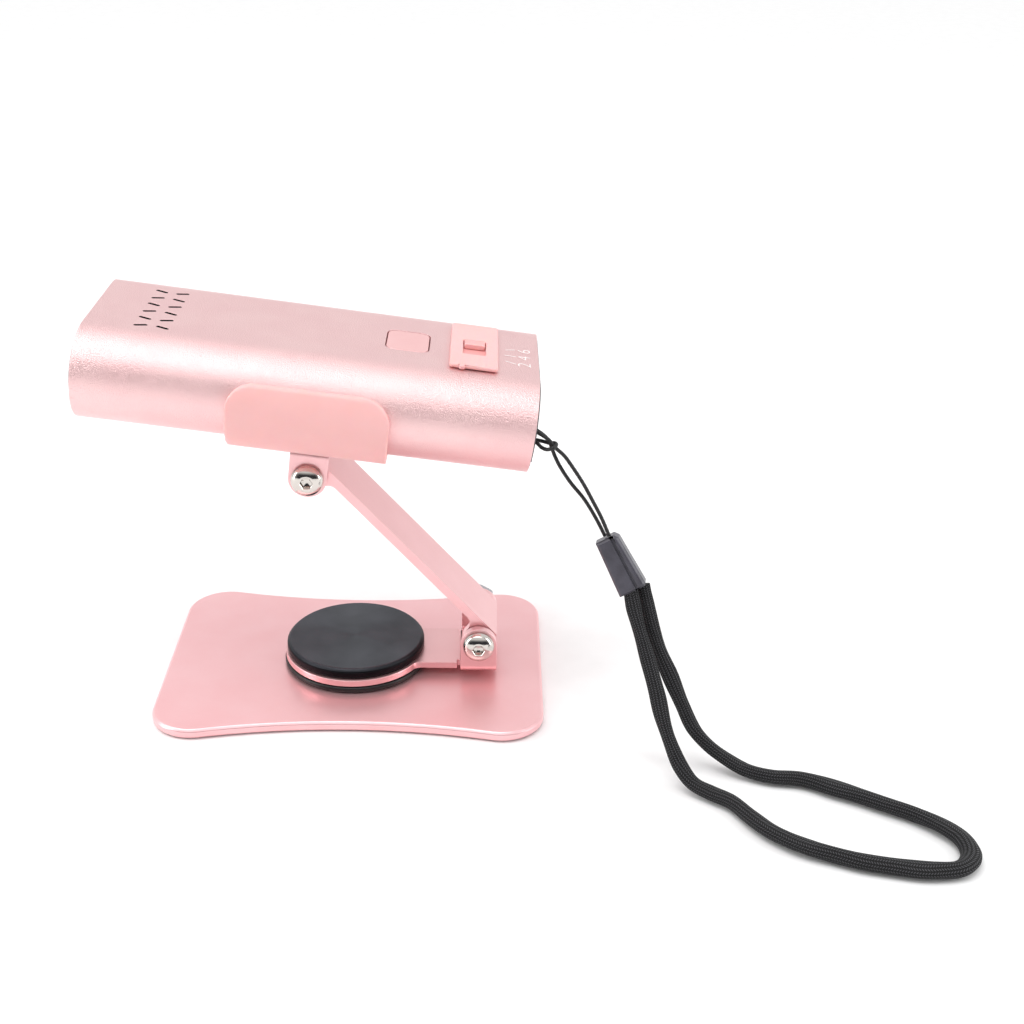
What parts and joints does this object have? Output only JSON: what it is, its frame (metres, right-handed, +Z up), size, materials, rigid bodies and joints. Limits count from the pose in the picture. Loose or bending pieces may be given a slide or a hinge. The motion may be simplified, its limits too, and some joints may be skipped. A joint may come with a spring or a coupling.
{
  "type": "nail dust collector",
  "caption": "Small handheld unit with vents, push button and slide switch, held in a cradle on a folding swivel stand; wrist strap at one end.",
  "frame": {"origin": "centre of the base plate's outline, on the table under the rubber pad", "axes": "+Z up; +X along the base plate's long side, towards the end of the unit with the wrist strap; +Y away from the side with the screw heads"},
  "size_m": [0.2308, 0.1375, 0.1129],
  "materials": {
    "base_metal": "satin anodised",
    "pad_rubber": "matt",
    "screw_steel": "bright",
    "screw_chrome": "polished",
    "black_disc": "satin",
    "black_disc_turned": "turned, concentric grain",
    "sheet_metal": "anodised sheet",
    "cradle_plastic": "soft matt",
    "body_aluminium": "bead blasted, anodised",
    "cap_plastic": "fine texture",
    "filter_fabric": "pleated fleece",
    "inner_plastic": "moulded",
    "motor_steel": "stamped",
    "battery_wrap": "shrink film",
    "board_green": "solder mask",
    "button_pink": "satin",
    "control_plastic": "satin",
    "cord_black": "braided",
    "lock_plastic": "satin",
    "strap_fabric": "braided"
  },
  "bodies": {
    "base": {"base_plate": "base_metal", "base_pad": "pad_rubber", "swivel_screw": "screw_steel", "swivel_nut": "screw_steel", "swivel_lower_disc": "black_disc", "swivel_top_disc": "black_disc_turned"},
    "turntable": {"swivel_bracket": "sheet_metal", "lower_hinge_screw": "screw_chrome", "lower_hinge_nut": "screw_steel"},
    "arm": {"arm_link": "sheet_metal"},
    "holder": {"upper_bracket": "sheet_metal", "upper_hinge_screw": "screw_chrome", "upper_hinge_nut": "screw_steel", "cradle": "cradle_plastic", "cradle_screw_1": "screw_steel", "cradle_screw_2": "screw_steel"},
    "unit": {"body_shell": "body_aluminium", "left_end_cap": "cap_plastic", "right_end_cap": "cap_plastic", "left_cap_screw_1": "screw_steel", "left_cap_screw_2": "screw_steel", "right_cap_screw_1": "screw_steel", "right_cap_screw_2": "screw_steel", "fan_housing": "inner_plastic", "fan_motor": "motor_steel", "battery": "battery_wrap", "circuit_board": "board_green", "push_switch": "inner_plastic", "slide_switch": "motor_steel", "charge_port": "motor_steel", "switch_bezel": "control_plastic", "lanyard_cord": "cord_black", "strap_lock": "lock_plastic", "wrist_strap": "strap_fabric"},
    "fan": {"fan_impeller": "inner_plastic"},
    "cover": {"intake_cover": "cap_plastic", "dust_filter": "filter_fabric"},
    "button": {"power_button": "button_pink"},
    "slider": {"switch_knob": "control_plastic"}
  },
  "joints": [
    {"name": "base_swivel", "type": "hinge", "parent": "base", "child": "turntable", "pos_m": [0, 0, 0.0056], "axis": [0, 0, 1], "continuous": true},
    {"name": "lower_hinge", "type": "hinge", "parent": "turntable", "child": "arm", "pos_m": [0.0364, 0, 0.01495], "axis": [0, 1, 0], "range_deg": [-16, 75]},
    {"name": "upper_hinge", "type": "hinge", "parent": "arm", "child": "holder", "pos_m": [-0.0108, 0, 0.0669], "axis": [0, 1, 0], "range_deg": [-58, 22]},
    {"name": "unit_slide", "type": "slide", "parent": "holder", "child": "unit", "axis": [-0.9925, 0, 0.1219], "range_m": [-0.09, 0.035]},
    {"name": "fan_spin", "type": "hinge", "parent": "unit", "child": "fan", "pos_m": [-0.0583, 0, 0.0991], "axis": [0.9925, 0, -0.1219], "continuous": true},
    {"name": "intake_cover_pull", "type": "slide", "parent": "unit", "child": "cover", "axis": [-0.9925, 0, 0.1219], "range_m": [0, 0.015]},
    {"name": "power_button_press", "type": "slide", "parent": "unit", "child": "button", "axis": [-0.1219, 0, -0.9925], "range_m": [0, 0.0005], "stiffness_N_per_m": 1200},
    {"name": "mode_slide", "type": "slide", "parent": "unit", "child": "slider", "axis": [0, -1, 0], "range_m": [0, 0.006]}
  ]
}
